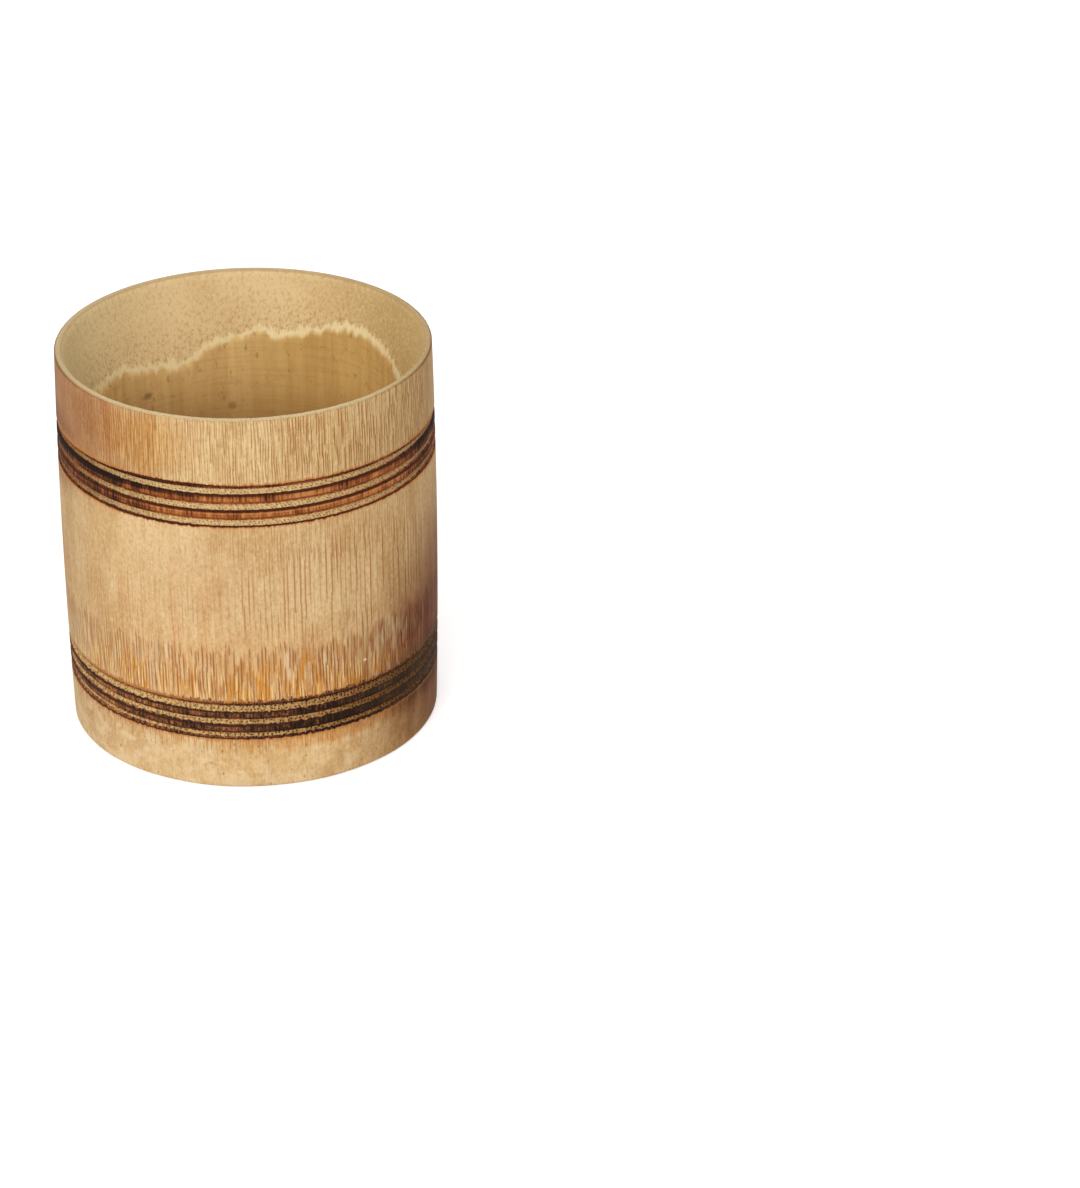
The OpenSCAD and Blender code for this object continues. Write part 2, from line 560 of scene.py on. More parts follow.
def foot_rows(lathe):
    """From the bore's lower edge, under the flat foot ring, and up its rounded outer edge."""
    lathe.row(BORE_R, FOOT_BEVEL)
    lathe.row(BORE_R + FOOT_BEVEL, 0)
    worn = ring_noise(11, 2, 30, 0.05)
    lathe.row(side_r(0) - FOOT_ROUND * 1.6, 0)
    size = FOOT_ROUND + worn
    for share in np.linspace(0, 1, 7):
        turn = math.pi / 2 * share
        lathe.row(side_r(FOOT_ROUND) - size * (1 - math.sin(turn)), size * (1 - math.cos(turn)))


def lip_rows(lathe, inner):
    """The eased outer edge of the lip, its flat, and its sanded inner edge, which wavers."""
    nibble = ring_noise(12, 30, 200, 0.025)
    lathe.row(RIM_R, HEIGHT - LIP_EASE + nibble)
    lathe.row(RIM_R - LIP_EASE * 0.35 + nibble * 0.5, HEIGHT - LIP_EASE * 0.35, tide=SEAM_D)
    lathe.row(RIM_R - LIP_EASE, HEIGHT, tide=SEAM_D)
    for share in (0.0, 0.3, 0.6, 0.85):
        turn = math.radians(72) * share
        radius = LIP_R + LIP_SANDED * (1 - math.sin(turn)) + inner
        lathe.row(radius, HEIGHT - LIP_SANDED * (1 - math.cos(turn)), tide=SEAM_D)


def flare_rows(lathe, inner):
    """Down the flare to the seam with the lining, with faint ripples from turning."""
    count = 26
    for i in range(1, count + 1):
        share = i / count
        depth = LIP_SANDED + (SEAM_D - LIP_SANDED) * share
        ripple = 0.02 * math.sin(i * 2.4) * (0.3 + 0.7 * share) * (i < count)
        radius = flare_r(depth) + ripple + inner * max(0, 1 - 3 * share)
        lathe.row(radius, HEIGHT - depth, tide=SEAM_D - depth)


def bore_rows(lathe):
    """Down the bore behind the lining and the node's disc."""
    count = 8
    for i in range(1, count + 1):
        z = HEIGHT - SEAM_D + (LEDGE_Z - HEIGHT + SEAM_D) * i / count
        lathe.row(hollow_r(z) + LINING_T, z)
    lathe.row(BORE_R, (LEDGE_Z + UNDER_LEDGE_Z) / 2)


def make_wall(material):
    """The culm's wall: foot ring, grooved side, lip, flare, and the bore that the lining lies against."""
    lathe = Lathe()
    half = GROOVE_HALF + GROOVE_MARGIN
    foot_rows(lathe)
    side_rows(lathe, FOOT_ROUND, LOWER_BAND_Z - LOWER_PITCH - half)
    band_rows(lathe, LOWER_BAND_Z, LOWER_PITCH, LOWER_RAGGED)
    side_rows(lathe, LOWER_BAND_Z + LOWER_PITCH + half, UPPER_BAND_Z - UPPER_PITCH - half)
    band_rows(lathe, UPPER_BAND_Z, UPPER_PITCH, UPPER_RAGGED)
    side_rows(lathe, UPPER_BAND_Z + UPPER_PITCH + half, HEIGHT - LIP_EASE)
    inner = ring_noise(13, 20, 160, 0.03)
    lip_rows(lathe, inner)
    flare_rows(lathe, inner)
    bore_rows(lathe)
    wall = lathe.piece("cup_wall", material)
    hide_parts("culm_wall")
    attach(wall, "root")


def make_lining(material):
    """The skin of the hollow: its cut edge in the flare, its uneven inside, and its back on the wall."""
    lathe = Lathe()
    edge_rows = 5
    for i in range(edge_rows + 1):
        depth = SEAM_D + (TIDE_D - SEAM_D) * i / edge_rows
        lathe.row(flare_r(depth), HEIGHT - depth, tide=SEAM_D - depth)
    inside_rows = 40
    slow = ring_noise(20, 1, 9, 0.05)
    quick = ring_noise(21, 1, 9, 0.05)
    for i in range(1, inside_rows + 1):
        share = i / inside_rows
        z = HEIGHT - TIDE_D + (LEDGE_Z - HEIGHT + TIDE_D) * share
        uneven = (slow * math.sin(5 * share) + quick * math.sin(9 * share + 1)) * math.sin(math.pi * share)
        lathe.row(hollow_r(z) + uneven, z, tide=SEAM_D - (HEIGHT - z))
    lathe.row(BORE_R, LEDGE_Z)
    back_rows = 6
    for i in range(1, back_rows):
        z = LEDGE_Z + (HEIGHT - SEAM_D - LEDGE_Z) * i / back_rows
        lathe.row(hollow_r(z) + LINING_T, z)
    lining = lathe.piece("cup_lining", material)
    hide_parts("cavity_lining")
    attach(lining, "root")


def grown(radius, seed):
    """How a face of the node's disc rises and falls round a circle: broad waves, and fine ones on them."""
    def height(angle):
        x = radius * math.sin(angle)
        y = radius * math.cos(angle)
        broad = noise.noise(Vector((x * 0.12 + seed, y * 0.12, 0.0))) * 0.5
        return broad + noise.noise(Vector((x * 0.5, y * 0.5 + seed, 3.0))) * 0.12
    return np.array([height(angle) for angle in AROUND])


def dish_rows(lathe, radius, z, rise, seed, count, outward):
    """Rows of a face of the node's disc between its middle and a cove, gently uneven as it grew."""
    order = range(1, count + 1) if outward else range(count, 0, -1)
    for i in order:
        share = i / count
        r = radius * share
        swell = 0.35 * math.exp(-(r / 6.0) ** 2)
        lathe.row(r, z + rise * share * share + (grown(r, seed) + swell) * (1 - share ** 6))


def make_floor_disc(material):
    """The natural partition: hollowed underside, cove, ledges against the wall, cove and dished floor."""
    lathe = Lathe()
    under_r = CAVITY_R - UNDER_COVE
    floor_r = CAVITY_R - FLOOR_COVE
    under_z = UNDER_LEDGE_Z + UNDER_COVE
    floor_z = LEDGE_Z - FLOOR_COVE
    dish_rows(lathe, under_r, under_z + UNDER_DISH, -UNDER_DISH, 4.0, 20, True)
    for share in np.linspace(0, 1, 8)[1:]:
        turn = math.pi / 2 * (1 - share)
        lathe.row(under_r + UNDER_COVE * math.cos(turn), UNDER_LEDGE_Z + UNDER_COVE * math.sin(turn))
    lathe.row(BORE_R, UNDER_LEDGE_Z)
    lathe.row(BORE_R, LEDGE_Z)
    for share in np.linspace(0, 1, 10)[:-1]:
        turn = math.pi / 2 * share
        lathe.row(floor_r + FLOOR_COVE * math.cos(turn), LEDGE_Z - FLOOR_COVE * math.sin(turn))
    dish_rows(lathe, floor_r, floor_z - FLOOR_DISH, FLOOR_DISH, 9.0, 24, False)
    disc = lathe.piece("cup_floor", material, capped=True)
    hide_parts("node_diaphragm")
    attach(disc, "root")


def make_foot_skin(material):
    """The skin on the far side of the node, inside the foot."""
    lathe = Lathe()
    frayed = ring_noise(31, 20, 120, 0.08)
    lathe.row(BORE_R, FOOT_BEVEL)
    lathe.row(CAVITY_R + 0.1, FOOT_BEVEL + 0.15 + np.abs(frayed))
    lathe.row(CAVITY_R, FOOT_BEVEL + LINING_T + frayed)
    for share in (0.25, 0.5, 0.75):
        z = FOOT_BEVEL + LINING_T + (UNDER_LEDGE_Z - FOOT_BEVEL - LINING_T) * share
        lathe.row(CAVITY_R + ring_noise(32 + int(share * 4), 2, 12, 0.03), z)
    lathe.row(CAVITY_R, UNDER_LEDGE_Z)
    lathe.row(BORE_R, UNDER_LEDGE_Z)
    skin = lathe.piece("cup_foot_skin", material)
    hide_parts("foot_lining")
    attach(skin, "root")


# Finishes: marks along the fibres

def girth_of(g, place):
    """How far round the side a point is from the front, in millimetres."""
    x, y, _ = g.split(place)
    return g.times(g.math("ARCTAN2", x, g.less(0.0, y)), RIM_R)


def dashes(g, girth, z, gap, length, half, reach, shift, jitter=0.8):
    """Thin marks along the fibres: so far apart round the cup and along it, half so wide, reaching so far
    from their middles. Gives their mask and a random number for each."""
    place = g.join(g.add(g.times(girth, 1 / gap), shift), g.times(z, 1 / length), 0.0)
    cells = g.node("ShaderNodeTexVoronoi", {"Vector": place, "Scale": 1.0, "Randomness": jitter},
                   voronoi_dimensions="2D").outputs
    across, along, _ = g.split(g.vector("SUBTRACT", place, cells["Position"]))
    across = g.times(across, gap / half)
    along = g.times(along, length / reach)
    away = g.add(g.times(across, across), g.times(along, along))
    chance = g.split(cells["Color"])[0]
    return g.step(away, 1.4, 0.5), chance


def fibres(g, place, girth, z):
    """The cut bundles of fibres on the turned side: long streaks, short dashes, pale dashes, and the
    broader dashes over the node."""
    wave = g.less(g.noise(place, 0.16, 0.2, 3.1, 2.0), 0.5)
    bent = g.add(girth, g.times(wave, 0.45))
    straight = g.add(girth, g.times(wave, 0.25))

    def marks(line, strength, *sizes):
        """Marks of one kind, whose strength follows their random numbers."""
        mask, chance = dashes(g, line, z, *sizes)
        return g.times(mask, g.step(chance, *strength))

    long = marks(straight, (0.1, 0.8, 0.28, 1.0), 1.12, 13.0, 0.17, 8.5, 17.3)
    short = marks(bent, (0.0, 0.7, 0.2, 1.0), 0.54, 4.6, 0.13, 3.6, 0.0)
    pale = marks(bent, (0.2, 0.7, 0.1, 1.0), 0.62, 3.6, 0.16, 2.6, 41.7)
    broad = marks(straight, (0.0, 0.5, 0.2, 1.0), 0.78, 5.6, 0.17, 4.2, 63.1, 0.9)
    return long, short, pale, broad


def fibre_zones(g, place, x, z):
    """How strongly the long streaks, the short dashes and the pale ones show, and where the broad dashes
    are: over the lower band, where the fibres swell out at the node and were cut at a slant."""
    front = g.most(g.blot(place, "dashes in front"), g.blot(place, "dashes behind"))
    top = g.times(g.step(z, 67.0, 69.0), front)
    right = g.most(g.blot(place, "streaks right"), g.blot(place, "streaks behind"))
    right = g.times(right, g.step(x, 8.0, 24.0, 0.78, 1.0))
    left = g.times(g.blot(place, "streaks left"), 0.35)
    under = g.times(g.blot(place, "dashes under band"), 0.4)
    high_end = g.spread(g.noise(place, 0.9, 0.0, 41.0, 3.0, 0.6), 29.5, 34.0)
    low_end = g.ramp(g.noise(place, 1.2, 0.0, 43.0, 3.0, 0.6), 0.32, 0.68, 14.0, 26.0)
    below = g.step(z, g.add(high_end, 1.0), g.less(high_end, 1.0))
    node = g.times(below, g.over(z, low_end, 1.5))
    node = g.times(node, g.step(x, -34.0, -10.0, 0.8, 1.0))
    bleed = g.ramp(g.noise(place, 1.1, 0.0, 47.0, 2.0), 0.4, 0.7, 10.4, 7.0)
    foot = g.times(g.over(z, bleed, 0.8), g.step(z, 12.0, 11.0, 0.0, 0.55))
    short = g.most(g.times(top, g.step(x, -10.0, 24.0, 0.55, 0.85)), under)
    short = g.most(short, g.most(g.times(node, 0.35), g.most(foot, 0.1)))
    flames = g.within(z, 19.0, 27.0, 2.5)
    pale = g.most(g.times(top, 0.6), g.most(g.times(flames, 0.75), g.most(g.times(under, 0.6), 0.1)))
    return g.most(right, left), short, pale, node


# Finishes: the turned side before it was burnt

def bare_ground(g, place, z):
    """Straw-coloured ground with clouds, fine grain and hairlines. Gives the hairlines' noise as well."""
    cloud = g.noise(place, 0.09, 0.05, 11.0, 4.0, 0.6)
    ground = g.mix(g.step(cloud, 0.3, 0.62), srgb(204, 164, 111), srgb(224, 192, 143))
    grain = g.noise(place, 1.6, 1.0, 17.0, 3.0, 0.75)
    ground = g.mix(g.step(grain, 0.5, 0.64, 0.0, 0.42), ground, srgb(184, 138, 86))
    ground = g.mix(g.step(grain, 0.48, 0.36, 0.0, 0.42), ground, srgb(238, 210, 164))
    hair = g.noise(place, 2.9, 0.06, 5.0, 2.0, 0.7)
    lined = g.step(z, 3.0, 14.0, 0.05, 0.2)
    ground = g.mix(g.times(g.step(hair, 0.52, 0.64), lined), ground, srgb(184, 126, 66))
    return ground, hair


def node_ground(g, place, girth, z, ground, node):
    """Warmer ground over the lower band, with rosy, red-brown, orange, cream and honey patches. Gives the
    patches' noise as well."""
    warm = g.times(g.blot(place, "warm"), 0.8)
    ground = g.tint(warm, ground, srgb(250, 236, 222))
    patch = g.noise(place, 0.42, 0.1, 29.0, 2.0, 0.6)
    board = g.noise(place, 0.3, 0.012, 27.0, 3.0, 0.6)
    rosy = g.times(g.blot(place, "rosy"), g.step(board, 0.4, 0.62, 0.0, 0.5))
    ground = g.tint(rosy, ground, srgb(242, 220, 198))
    rust = g.times(g.step(patch, 0.55, 0.63), g.times(node, 0.5))
    ground = g.mix(rust, ground, srgb(184, 124, 74))
    slab, kind = dashes(g, girth, z, 2.0, 6.0, 0.55, 3.8, 87.0, 0.9)
    orange = g.times(g.times(slab, node), g.step(kind, 0.5, 0.6, 0.0, 0.5))
    ground = g.mix(orange, ground, srgb(214, 162, 102))
    cream = g.times(g.times(slab, node), g.step(kind, 0.38, 0.28, 0.0, 0.5))
    ground = g.mix(cream, ground, srgb(228, 208, 168))
    honey = g.times(g.blot(place, "honey"), g.step(patch, 0.6, 0.46, 0.25, 0.95))
    return g.tint(honey, ground, srgb(250, 211, 121)), patch


def foot_ground(g, place, girth, z, ground):
    """The ground under the lower band: mottled, pitted, orange close under the band, buttery below it."""
    low = g.step(z, 12.5, 10.0)
    mottle = g.noise(place, 0.3, 0.34, 37.0, 3.0, 0.6)
    ground = g.mix(g.times(g.step(mottle, 0.48, 0.64), g.times(low, 0.5)), ground, srgb(238, 212, 168))
    ground = g.mix(g.times(g.step(mottle, 0.44, 0.32), g.times(low, 0.5)), ground, srgb(206, 166, 108))
    pit, chance = dashes(g, girth, z, 2.4, 2.6, 0.18, 0.35, 71.0, 1.0)
    pit = g.times(g.times(pit, g.step(chance, 0.72, 0.78)), g.times(low, 0.6))
    ground = g.mix(pit, ground, srgb(134, 96, 54))
    ground = g.tint(g.times(g.blot(place, "bled"), 0.7), ground, srgb(240, 200, 146))
    return g.tint(g.times(g.blot(place, "butter"), 0.5), ground, srgb(255, 246, 222))


def stained(g, place, z, wood, patch):
    """Tanned skin high on the left, painted shade round the side, and the dark stain low on the right."""
    ribbon = g.noise(place, 0.3, 0.02, 19.0, 2.0)
    tan = g.times(g.blot(place, "tan"), g.spread(ribbon, 0.8, 1.0))
    wood = g.tint(tan, wood, srgb(206, 170, 154))
    # Painted shade: darker right and left sides and a slightly darker middle
    wood = g.tint(g.blot(place, "painted shade right"), wood, srgb(232, 225, 213))
    wood = g.tint(g.blot(place, "painted shade left"), wood, srgb(240, 238, 234))
    wood = g.tint(g.blot(place, "painted shade middle"), wood, srgb(249, 247, 246))
    # Painted shade: a darker top zone and a darker right of the foot
    wood = g.tint(g.step(z, 66.0, 70.0), wood, srgb(248, 247, 242))
    wood = g.tint(g.blot(place, "painted shade foot"), wood, srgb(223, 207, 184))
    haze = g.most(g.times(g.blot(place, "haze over"), 0.7), g.times(g.blot(place, "haze under"), 0.5))
    wood = g.tint(haze, wood, srgb(170, 132, 112))
    stain = g.times(g.blot(place, "stain"), g.spread(ribbon, 0.9, 1.0))
    wood = g.tint(stain, wood, srgb(162, 122, 106))
    smear = g.times(g.blot(place, "smear"), g.step(patch, 0.42, 0.6, 0.3, 0.85))
    wood = g.tint(smear, wood, srgb(200, 168, 146))
    bloom = g.times(g.blot(place, "bloom"), g.step(patch, 0.56, 0.42, 0.0, 0.4))
    return g.mix(bloom, wood, srgb(196, 172, 124))


def flawed(g, place, girth, z, wood):
    """Brown and pale flecks at the stain's edge, and a few pale chips."""
    fleck, kind = dashes(g, girth, z, 1.1, 3.0, 0.3, 2.0, 53.0, 0.95)
    bruise = g.times(g.blot(place, "bruise"), fleck)
    brown = g.times(bruise, g.step(kind, 0.5, 0.58, 0.0, 0.5))
    wood = g.mix(brown, wood, srgb(156, 102, 72))
    pale = g.times(bruise, g.step(kind, 0.36, 0.28, 0.0, 0.22))
    wood = g.mix(pale, wood, srgb(216, 194, 152))
    chips = None
    for degrees, height, wide, high, strength in CHIPS:
        chip = g.step(g.near(place, degrees, height, RIM_R, wide, high), 1.3, 0.7, 0.0, strength)
        chips = chip if chips is None else g.most(chips, chip)
    return g.mix(chips, wood, srgb(252, 248, 238))


def outside_wood(g, place, girth):
    """The turned side before it was burnt: its colour, how deep the fibres' cuts are, and the hairlines."""
    x, _, z = g.split(place)
    ground, hair = bare_ground(g, place, z)
    long_share, short_share, pale_share, node = fibre_zones(g, place, x, z)
    ground, patch = node_ground(g, place, girth, z, ground, node)
    ground = foot_ground(g, place, girth, z, ground)
    ground = g.tint(g.times(g.blot(place, "glow"), 0.85), ground, srgb(248, 223, 169))

    long, short, pale, broad = fibres(g, place, girth, z)
    wood = g.mix(g.times(pale, pale_share), ground, srgb(240, 212, 158))
    wood = g.mix(g.times(long, g.times(long_share, 0.84)), wood, srgb(170, 108, 50))
    wood = g.mix(g.times(short, short_share), wood, srgb(160, 98, 44))
    broad_share = g.times(node, g.step(x, 2.0, 16.0, 0.7, 0.86))
    wood = g.mix(g.times(broad, broad_share), wood, srgb(148, 86, 38))

    wood = stained(g, place, z, wood, patch)
    wood = flawed(g, place, girth, z, wood)
    cuts = g.most(g.times(short, short_share), g.most(g.times(broad, node), g.times(long, long_share)))
    return wood, cuts, hair


# Finishes: the burnt bands

class BandPlace:
    """Where a point lies in the nearer burnt band: its offset from the band's middle, the nearest groove's
    index from -1 to 1, the local height over that groove's middle, and the distance outside the band."""

    def __init__(self, g, level):
        self.upper = g.math("GREATER_THAN", level, HEIGHT / 2)
        self.lower = g.less(1.0, self.upper)
        centre = g.choose(self.upper, LOWER_BAND_Z, UPPER_BAND_Z)
        pitch = g.choose(self.upper, LOWER_PITCH, UPPER_PITCH)
        self.offset = g.less(level, centre)
        nearest = g.math("ROUND", g.math("DIVIDE", self.offset, pitch))
        self.index = g.most(g.least(nearest, 1.0), -1.0)
        self.local = g.less(self.offset, g.times(self.index, pitch))
        self.outside = g.less(g.math("ABSOLUTE", self.offset), g.add(pitch, GROOVE_HALF))


def pale_flank(g, place, x, band, left):
    """1 on the grooves' long flanks, which show pale, and 0 elsewhere. Their lower edges are ragged, and
    charring narrows them."""
    deep = GROOVE_W * (GROOVE_LOW_SHARE - 0.5)
    ragged = g.less(g.noise(place, 1.6, 0.0, 57.0, 2.0, 0.7), 0.5)
    ragged = g.times(ragged, g.choose(band.lower, 0.3, 0.8))
    thin = g.add(g.ramp(band.index, 1.0, -1.0, -0.18, 0.3), g.step(x, -4.0, -26.0, 0.0, 0.2))
    ragged = g.add(ragged, g.add(g.times(left, 0.3), g.times(band.lower, thin)))
    ragged = g.add(ragged, g.times(band.upper, g.step(x, 10.0, 34.0, 0.0, 0.18)))
    flank = g.step(g.less(band.local, ragged), 0.2 - GROOVE_HALF, 0.34 - GROOVE_HALF)
    return g.times(flank, g.step(band.local, deep - 0.12, deep - 0.26))


def ridge_char(g, place, x, band, left, dusk):
    """How burnt the ridges between the grooves are: black along the top, red-brown below it, and blackest
    on the left, with dark lines along the grooves' edges, where the line over each pale flank is char and
    painted shade. Gives the noise of the specks as well."""
    below = g.math("MULTIPLY_ADD", band.local, -1.0, -GROOVE_HALF)
    above = g.less(band.local, GROOVE_HALF)
    fibre = g.noise(place, 2.2, 0.16, 61.0, 3.0, 0.7)
    blotch = g.noise(place, 0.14, 0.1, 71.0, 3.0, 0.6)
    speck = g.noise(place, 1.7, 1.1, 83.0, 3.0, 0.75)
    depth = g.add(g.ramp(blotch, 0.35, 0.65, 0.32, 0.66), g.spread(fibre, -0.28, 0.3))
    top = g.step(band.index, 0.4, 0.6)
    dark = g.add(g.times(left, g.choose(top, 0.28, 0.4)), g.times(dusk, g.choose(top, 0.1, 0.26)))
    depth = g.add(depth, g.add(dark, g.times(band.lower, g.step(x, -26.0, 0.0, 0.06, 0.18))))
    depth = g.add(depth, g.times(g.choose(band.lower, 0.4, 1.0), g.spread(speck, -0.28, 0.28)))
    shading = g.ramp(below, 0.0, UPPER_PITCH - GROOVE_W, 0.14, -0.16)
    shading = g.add(shading, g.choose(top, -0.14, 0.03))
    shading = g.add(shading, g.times(g.less(left, 1.0), 0.07))
    depth = g.add(depth, g.times(band.upper, shading))
    depth = g.add(depth, g.times(g.blot(place, "dark low"), 0.2))
    line_low = g.times(g.step(below, -0.42, -0.16), g.step(below, 0.7, 0.2))
    # Dark line over each pale flank, on the short upper flank that faces down: char and painted shade
    upper_flank_char_and_shade = g.times(g.step(above, -0.66, -0.4), g.step(above, 0.3, 0.05))
    lines = g.most(g.times(line_low, 0.9), g.times(upper_flank_char_and_shade, g.choose(band.upper, 0.74, 0.56)))
    lines = g.times(lines, g.spread(fibre, 0.82, 1.04))
    return g.most(g.most(depth, 0.24), lines), speck


def scorch(g, place, x, band, left, speck):
    """Scorch past a band's outermost edges, which runs out along the fibres and is speckled over the lower
    band."""
    is_over = g.math("GREATER_THAN", band.offset, 0.0)
    over_lower = g.times(is_over, band.lower)
    flame = g.noise(place, 1.5, 0.015, 81.0, 2.0, 0.7)
    far = g.ramp(flame, 0.35, 0.68, 0.15, 1.0)
    reach = g.times(g.add(g.choose(band.upper, 1.5, 1.2), left), g.add(far, 0.25))
    glow = g.times(g.step(band.outside, reach, 0.0), g.choose(is_over, 0.24, 0.32))
    black = g.times(g.blot(place, "black over"), is_over)
    black = g.most(black, g.times(g.blot(place, "black under"), 0.7))
    edge = g.add(g.choose(band.lower, 0.22, 0.14), g.times(black, 0.26))
    line_end = g.add(edge, g.times(g.less(far, 0.4), 0.55))
    line = g.step(band.outside, line_end, g.less(edge, 0.22))
    fuzz = g.less(g.spread(speck, 0.1, 1.0), g.times(band.outside, 0.5))
    fuzz = g.times(g.times(g.step(fuzz, 0.1, 0.42), over_lower), g.step(x, -26.0, 6.0, 0.45, 1.0))
    line = g.times(line, g.less(g.choose(left, 0.86, 0.55), g.times(band.lower, 0.12)))
    fade = g.most(glow, g.most(line, g.times(fuzz, 0.7)))
    return g.times(fade, g.step(band.outside, -0.1, 0.0))


def burn(g, place, level):
    """How burnt the side is, from 0 for clean to 1 for black, with painted shade on the grooves' short
    upper flanks in it; where the grooves' pale flanks are, how sooty they are, where smoke dulls the lower
    band, and where the lower band is."""
    x = g.split(place)[0]
    band = BandPlace(g, level)
    left = g.most(g.blot(place, "charred left"), g.times(g.blot(place, "charred right"), 0.7))
    dusk = g.blot(place, "dusk")
    flank = pale_flank(g, place, x, band, left)
    inside = g.step(band.outside, 0.04, -0.04)
    ridge, speck = ridge_char(g, place, x, band, left, dusk)
    ridge = g.times(ridge, inside)
    fade = scorch(g, place, x, band, left, speck)
    smoke = g.times(g.blot(place, "smoke"), band.lower)
    sooty = g.times(g.blot(place, "soot"), 0.58)
    sooty = g.times(g.add(g.step(x, -24.0, 4.0, 0.12, 0.34), sooty), band.lower)
    sooty = g.most(sooty, g.times(band.upper, g.step(x, 4.0, 34.0, 0.0, 0.45)))
    soot = g.most(g.times(left, 0.95), sooty)
    return g.most(ridge, fade), g.times(flank, inside), soot, smoke, band.lower


def char_colour(g, amount, wood, lower):
    """Wood that darkens through orange, red-brown and dark brown to nearly black, greyer in the lower
    band."""
    warm = g.mix(g.step(amount, 0.02, 0.3), wood, srgb(186, 120, 62))
    grey = g.times(lower, 0.5)
    red = g.mix(g.step(amount, 0.22, 0.55), warm, g.mix(grey, srgb(144, 76, 36), srgb(114, 78, 54)))
    brown = g.mix(g.step(amount, 0.48, 0.8), red, g.mix(grey, srgb(76, 38, 18), srgb(64, 46, 34)))
    return g.mix(g.step(amount, 0.74, 1.0), brown, srgb(34, 19, 11))


def end_grain(g, place, girth, level, lower, soot):
    """The grooves' long flanks, which cut the fibres: pale, and dotted with the cut bundles."""
    slanted = g.add(girth, g.times(level, 0.6))
    fine, chance = dashes(g, slanted, level, 0.72, 0.5, 0.19, 0.17, 5.0, 0.6)
    fine = g.times(fine, g.ramp(chance, 0, 1, 0.35, 0.85))
    coarse, chance = dashes(g, girth, level, 0.82, 0.58, 0.2, 0.18, 9.0, 0.7)
    coarse = g.times(coarse, g.step(chance, 0.0, 0.4, 0.3, 1.0))
    pits = g.noise(place, 1.8, 1.6, 91.0, 2.0, 0.7)
    ground = g.mix(lower, srgb(210, 176, 122), srgb(217, 177, 114))
    cut = g.mix(g.times(g.step(pits, 0.49, 0.6), g.choose(lower, 0.3, 0.75)), ground, srgb(132, 90, 46))
    cut = g.mix(g.step(pits, 0.44, 0.34, 0.0, 0.45), cut, srgb(232, 200, 144))
    clear = g.step(g.split(place)[0], -30.0, 12.0, 0.5, 1.0)
    # Fine dots in the upper band, and coarse ones in the lower
    dots = g.math("MULTIPLY_ADD", lower, g.less(g.times(coarse, clear), fine), fine)
    cut = g.mix(dots, cut, g.mix(lower, srgb(116, 76, 40), srgb(62, 38, 18)))
    return g.tint(soot, cut, srgb(173, 134, 98))


# Finishes: the mouth and the hollow

def hollow_skin(g, place):
    """The golden skin of the hollow: pale streaks down it, faint turning marks, dark pores and painted
    shade.
    """
    x, _, z = g.split(place)
    vein = g.noise(place, 0.4, 0.02, 55.0, 3.0, 0.6)
    gold = g.mix(g.step(vein, 0.35, 0.65), srgb(215, 177, 115), srgb(229, 194, 129))
    # Painted shade on the right side of the hollow
    gold = g.tint(g.step(x, -8.0, 14.0), gold, srgb(239, 232, 216))
    turned = g.noise(place, 0.06, 1.6, 57.0, 2.0, 0.6)
    gold = g.mix(g.step(turned, 0.5, 0.66, 0.0, 0.2), gold, srgb(176, 132, 74))
    mottle = g.noise(place, 0.5, 0.35, 59.0, 4.0, 0.65)
    gold = g.mix(g.step(mottle, 0.5, 0.7, 0.0, 0.3), gold, srgb(178, 134, 74))
    pore = g.noise(place, 0.9, 0.5, 63.0, 1.0)
    gold = g.mix(g.step(pore, 0.66, 0.75, 0.0, 0.4), gold, srgb(120, 84, 44))
    for degrees, height, wide, high, strength, colour in SPECKS:
        away = g.near(place, degrees, height, CAVITY_R + 1, wide, high)
        gold = g.mix(g.step(away, 1.4, 0.5, 0.0, strength), gold, srgb(*colour))
    # Painted shade: darker deeper down the hollow
    deep = g.step(z, 66.0, 42.0, 0.0, 0.75)
    return g.mix(deep, gold, srgb(148, 104, 54))


def flare_wood(g, place, girth, x, z, tide, cloud):
    """The turned flare: khaki, greener on the left, painted shade on the right, speckled most near the
    seam.
    """
    khaki = g.mix(g.step(cloud, 0.3, 0.7), srgb(219, 187, 135), srgb(231, 202, 151))
    khaki = g.mix(g.step(x, -16.0, -34.0, 0.0, 0.7), khaki, srgb(214, 193, 144))
    # Painted shade on the right of the flare
    khaki = g.tint(g.step(x, 10.0, 34.0), khaki, srgb(222, 215, 197))
    grain = g.noise(place, 1.5, 1.2, 25.0, 3.0, 0.7)
    off_seam = g.ramp(tide, 1.0, 9.0, 0.0, 1.0)
    darker = g.times(g.step(grain, 0.5, 0.64), g.choose(off_seam, 0.62, 0.32))
    khaki = g.mix(darker, khaki, srgb(176, 140, 86))
    khaki = g.mix(g.step(grain, 0.47, 0.35, 0.0, 0.4), khaki, srgb(236, 208, 156))
    cut, chance = dashes(g, girth, z, 0.55, 1.0, 0.16, 0.42, 23.0, 0.95)
    crowd = g.times(g.choose(off_seam, 0.16, 0.05), g.step(chance, 0.2, 0.8))
    return g.mix(g.times(cut, crowd), khaki, srgb(142, 104, 56))


def mouth_colour(g, place, girth, tide):
    """Flare, pale fringe and skin, told apart by the distance to the seam."""
    x, _, z = g.split(place)
    cloud = g.noise(place, 0.06, 0.06, 15.0, 2.0)
    khaki = flare_wood(g, place, girth, x, z, tide, cloud)
    teeth = g.noise(place, 1.1, 0.03, 35.0, 3.0, 0.7)
    rise = g.ramp(teeth, 0.32, 0.68, -0.6, 1.1)
    fringe = g.step(tide, g.add(rise, 0.55), g.less(rise, 0.35))
    cream = g.mix(g.times(fringe, g.spread(cloud, 0.6, 0.9)), khaki, srgb(244, 226, 174))
    hem = g.noise(place, 0.5, 0.03, 45.0, 3.0, 0.6)
    skin = g.step(tide, g.spread(hem, 0.3, -0.9), g.spread(hem, -1.0, -2.8))
    return g.mix(skin, cream, hollow_skin(g, place))


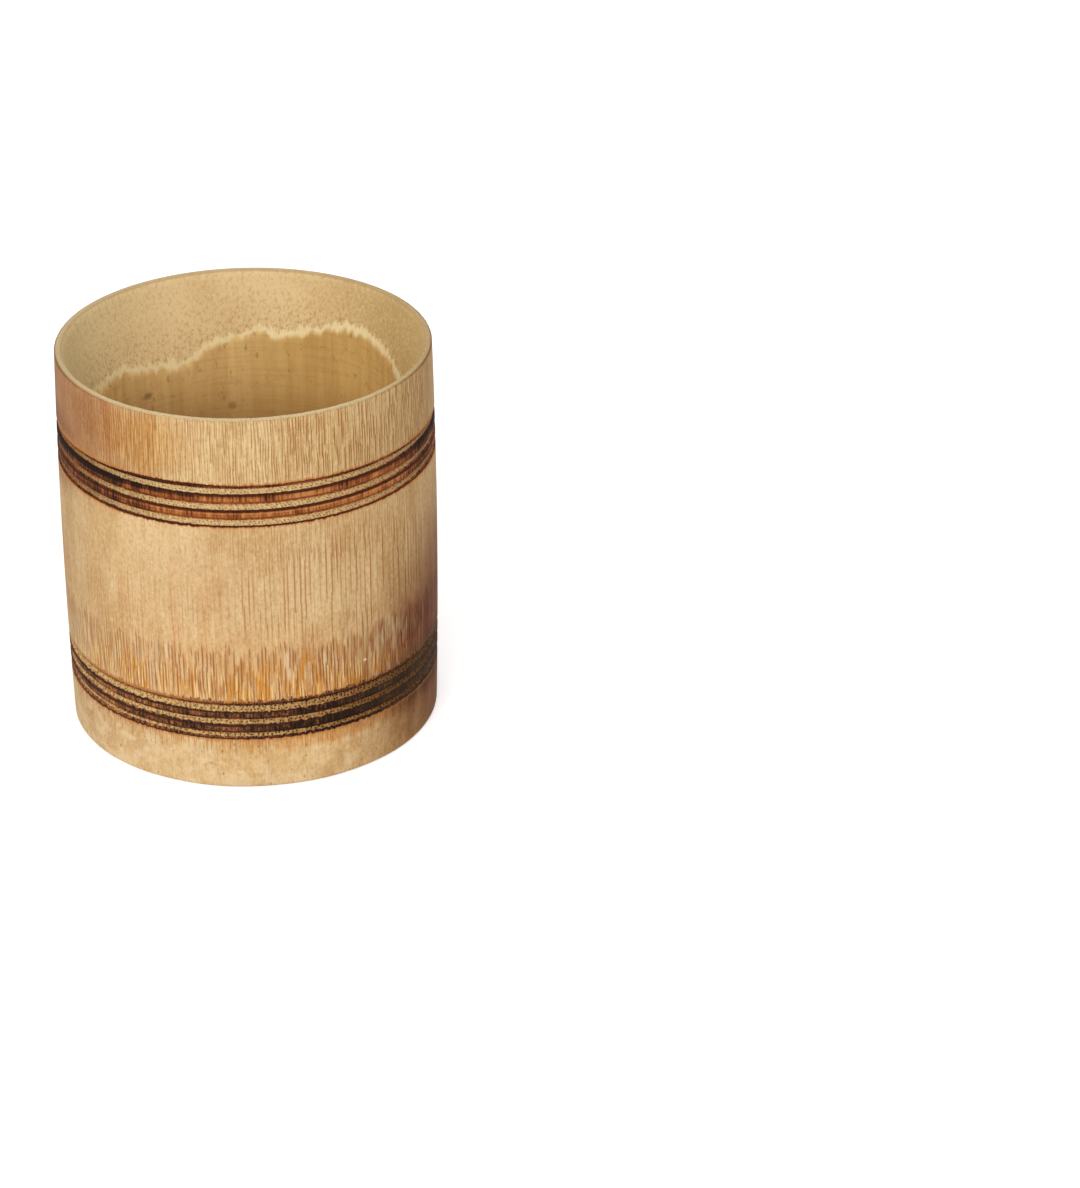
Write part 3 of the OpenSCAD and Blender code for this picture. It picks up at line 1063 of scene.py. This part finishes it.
def lip_edge_painted_shade(g, x, y, z):
    """Painted shade: a dark outline along the outer edge of the lip, everywhere except at the front."""
    radius = g.math("SQRT", g.add(g.times(x, x), g.times(y, y)))
    worn = g.times(g.step(radius, RIM_R - 0.42, RIM_R - 0.12), g.step(z, HEIGHT - 0.6, HEIGHT - 0.25))
    return g.times(worn, g.step(y, -36.0, -4.0, 0.15, 1.0))


def lip_over(g, y, z, hair, mouth):
    """The mouth's colour with the lip's speckled end grain over it, which is palest at the front."""
    lip = g.step(z, HEIGHT - 0.5, HEIGHT - 0.1)
    grain = g.mix(g.step(y, -34.0, -10.0), srgb(206, 188, 146), srgb(160, 134, 94))
    grain = g.mix(g.step(hair, 0.46, 0.62, 0.0, 0.55), grain, srgb(150, 116, 72))
    return g.mix(g.times(lip, g.step(y, -35.0, -20.0, 0.75, 0.55)), mouth, grain)


# Materials

def make_outside():
    """The wall's material. Its side, its end grain and its flare are told apart by marks and by height."""
    material, g = new_material("culm")
    place = g.place()
    x, y, z = g.split(place)
    girth = girth_of(g, place)
    level = g.attribute("level")
    tide = g.attribute("tide")
    wood, cuts, hair = outside_wood(g, place, girth)
    amount, flank, soot, smoke, lower = burn(g, place, level)
    charred = char_colour(g, amount, wood, lower)
    side = g.mix(flank, charred, end_grain(g, place, girth, level, lower, soot))
    thick = g.noise(place, 0.9, 0.5, 93.0, 3.0, 0.7)
    smoke = g.times(smoke, g.spread(thick, 0.47, 0.82))
    side = g.mix(smoke, side, srgb(52, 39, 23))
    worn = lip_edge_painted_shade(g, x, y, z)
    mouth = mouth_colour(g, place, girth, tide)
    mouth = lip_over(g, y, z, hair, mouth)
    colour = g.mix(g.step(tide, MOUTH_BOUND - 5.0, MOUTH_BOUND + 5.0), side, mouth)
    # Painted shade along the lip's outer edge
    colour = g.tint(worn, colour, srgb(184, 156, 148))
    height = g.add(g.times(cuts, -0.03), g.spread(hair, 0.015, -0.015))
    rough = g.add(g.spread(hair, 0.52, 0.64), g.times(g.most(amount, smoke), 0.2))
    finish_material(g, colour, rough, height, gloss=0.1)
    return material


def make_skin():
    """The lining's material: the mouth's colours, with faint rings from turning in gloss and relief."""
    material, g = new_material("lining")
    place = g.place()
    colour = mouth_colour(g, place, girth_of(g, place), g.attribute("tide"))
    turned = g.noise(place, 0.08, 1.8, 65.0, 3.0, 0.6)
    finish_material(g, colour, g.spread(turned, 0.46, 0.6), g.times(turned, 0.02), gloss=0.25)
    return material


def make_node_wood(name, base, dark):
    """The node's disc and the skin under it: tangled short grain, matte."""
    material, g = new_material(name)
    place = g.place()
    blotch = g.noise(place, 0.12, 0.12, 75.0, 4.0, 0.6)
    fine = g.noise(place, 0.9, 0.9, 85.0, 4.0, 0.7)
    colour = g.mix(g.step(blotch, 0.35, 0.7), base, dark)
    colour = g.mix(g.ramp(fine, 0.35, 0.65, 0.0, 0.35), colour, srgb(132, 96, 54))
    finish_material(g, colour, g.spread(fine, 0.55, 0.7), g.times(fine, 0.12))
    return material


make_camera()
make_world()
make_lamps()
make_floor()
make_wall(make_outside())
make_lining(make_skin())
make_floor_disc(make_node_wood("diaphragm", srgb(218, 182, 126), srgb(190, 150, 96)))
make_foot_skin(make_node_wood("foot_skin", srgb(214, 184, 130), srgb(190, 154, 100)))
bpy.context.scene.view_settings.view_transform = "Standard"
